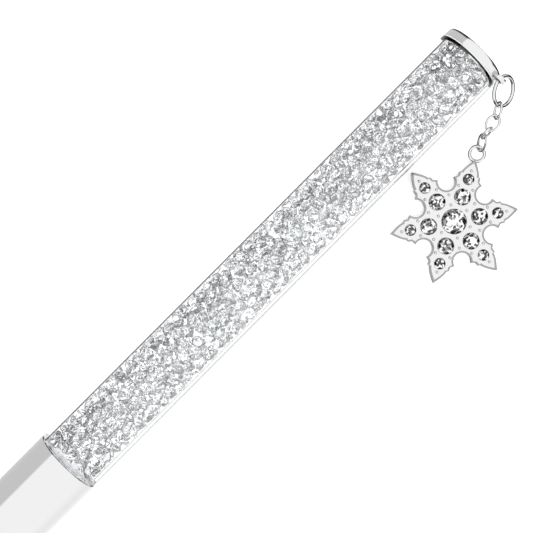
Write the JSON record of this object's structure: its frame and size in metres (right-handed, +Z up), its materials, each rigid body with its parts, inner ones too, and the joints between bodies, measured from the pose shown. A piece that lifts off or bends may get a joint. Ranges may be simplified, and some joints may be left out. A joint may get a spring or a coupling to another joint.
{
  "type": "magic wand",
  "caption": "Slim wand with a clear tube of loose crystals, a polished barrel that twists out a writing tip, and a snowflake charm on a short chain.",
  "frame": {"origin": "on the wand's axis, at the middle of the barrel's straight grip", "axes": "+X along the wand towards the cap, +Z up; the wand lies on its side with its charm beside it on the -Y side"},
  "size_m": [0.1461, 0.0264, 0.0093],
  "materials": {
    "polished_metal": "mirror-polished chrome plate",
    "clear_tube": "clear polished acrylic",
    "crystal": "colourless faceted stones",
    "silver_wire": "bright plated wire",
    "charm_silver": "bright plated casting",
    "brass": "turned",
    "turned_aluminium": "turned",
    "spring_steel": "ground",
    "black_plastic": "moulded",
    "natural_plastic": "moulded",
    "grey_seal": "soft seal",
    "rubber": "greased",
    "ink": "thick ink"
  },
  "bodies": {
    "grip": {"barrel": "polished_metal", "nose_cone": "polished_metal", "spacer_tube": "black_plastic", "cam_sleeve": "brass", "collar_bush": "brass"},
    "head": {"crystal_tube": "clear_tube", "crystals": "crystal", "neck_plug": "turned_aluminium", "drag_ring": "rubber", "spindle": "turned_aluminium", "retaining_ring": "spring_steel", "cap": "polished_metal", "cap_seal": "grey_seal", "charm_lug": "polished_metal"},
    "refill": {"follower": "natural_plastic", "drive_peg": "spring_steel", "refill_tube": "brass", "refill_tip": "brass", "refill_stopper": "natural_plastic", "ink": "ink"},
    "ball": {"writing_ball": "spring_steel"},
    "jump_ring": {"jump_ring": "silver_wire"},
    "link_1": {"link_1": "silver_wire"},
    "link_2": {"link_2": "silver_wire"},
    "link_3": {"link_3": "silver_wire"},
    "link_4": {"link_4": "silver_wire"},
    "charm": {"charm_plate": "charm_silver", "charm_ring": "silver_wire", "centre_stone": "crystal", "ring_stones": "crystal", "arm_stones": "crystal", "setting_beads": "charm_silver"}
  },
  "joints": [
    {"name": "twist", "type": "hinge", "parent": "grip", "child": "head", "pos_m": [0, 0, 0], "axis": [1, 0, 0], "range_deg": [0, 180]},
    {"name": "refill_slide", "type": "slide", "parent": "head", "child": "refill", "axis": [-1, 0, 0], "range_m": [0, 0.0045]},
    {"name": "ring_swing", "type": "hinge", "parent": "head", "child": "jump_ring", "pos_m": [0.095, -0.00446, 0.00227], "axis": [-0.924, -0.0136, 0.382], "range_deg": [-6, 90]},
    {"name": "link_1_swing", "type": "hinge", "parent": "jump_ring", "child": "link_1", "pos_m": [0.09286, -0.00685, 0.00088], "axis": [-0.4074, 0.5654, 0.7172], "range_deg": [-40, 60]},
    {"name": "link_2_swing", "type": "hinge", "parent": "link_1", "child": "link_2", "pos_m": [0.09155, -0.00764, 0.00028], "axis": [0.0875, 0.5084, -0.8566], "range_deg": [-60, 4]},
    {"name": "link_3_swing", "type": "hinge", "parent": "link_2", "child": "link_3", "pos_m": [0.08995, -0.00807, -0.00025], "axis": [0.2639, -0.9644, -0.0166], "range_deg": [-60, 60]},
    {"name": "link_4_swing", "type": "hinge", "parent": "link_3", "child": "link_4", "pos_m": [0.08926, -0.0085, -0.00177], "axis": [0.9123, -0.1879, -0.3639], "range_deg": [-60, 9]},
    {"name": "charm_swing", "type": "hinge", "parent": "link_4", "child": "charm", "pos_m": [0.08822, -0.00901, -0.00446], "axis": [0.5502, 0.7561, -0.3544], "range_deg": [-15, 9]},
    {"name": "ball_roll", "type": "hinge", "parent": "refill", "child": "ball", "pos_m": [-0.04815, 0, 0], "axis": [0, 1, 0], "continuous": true}
  ],
  "couplings": [
    {"joint": "twist", "follows": "refill_slide", "rad_per_m": 698.13}
  ]
}
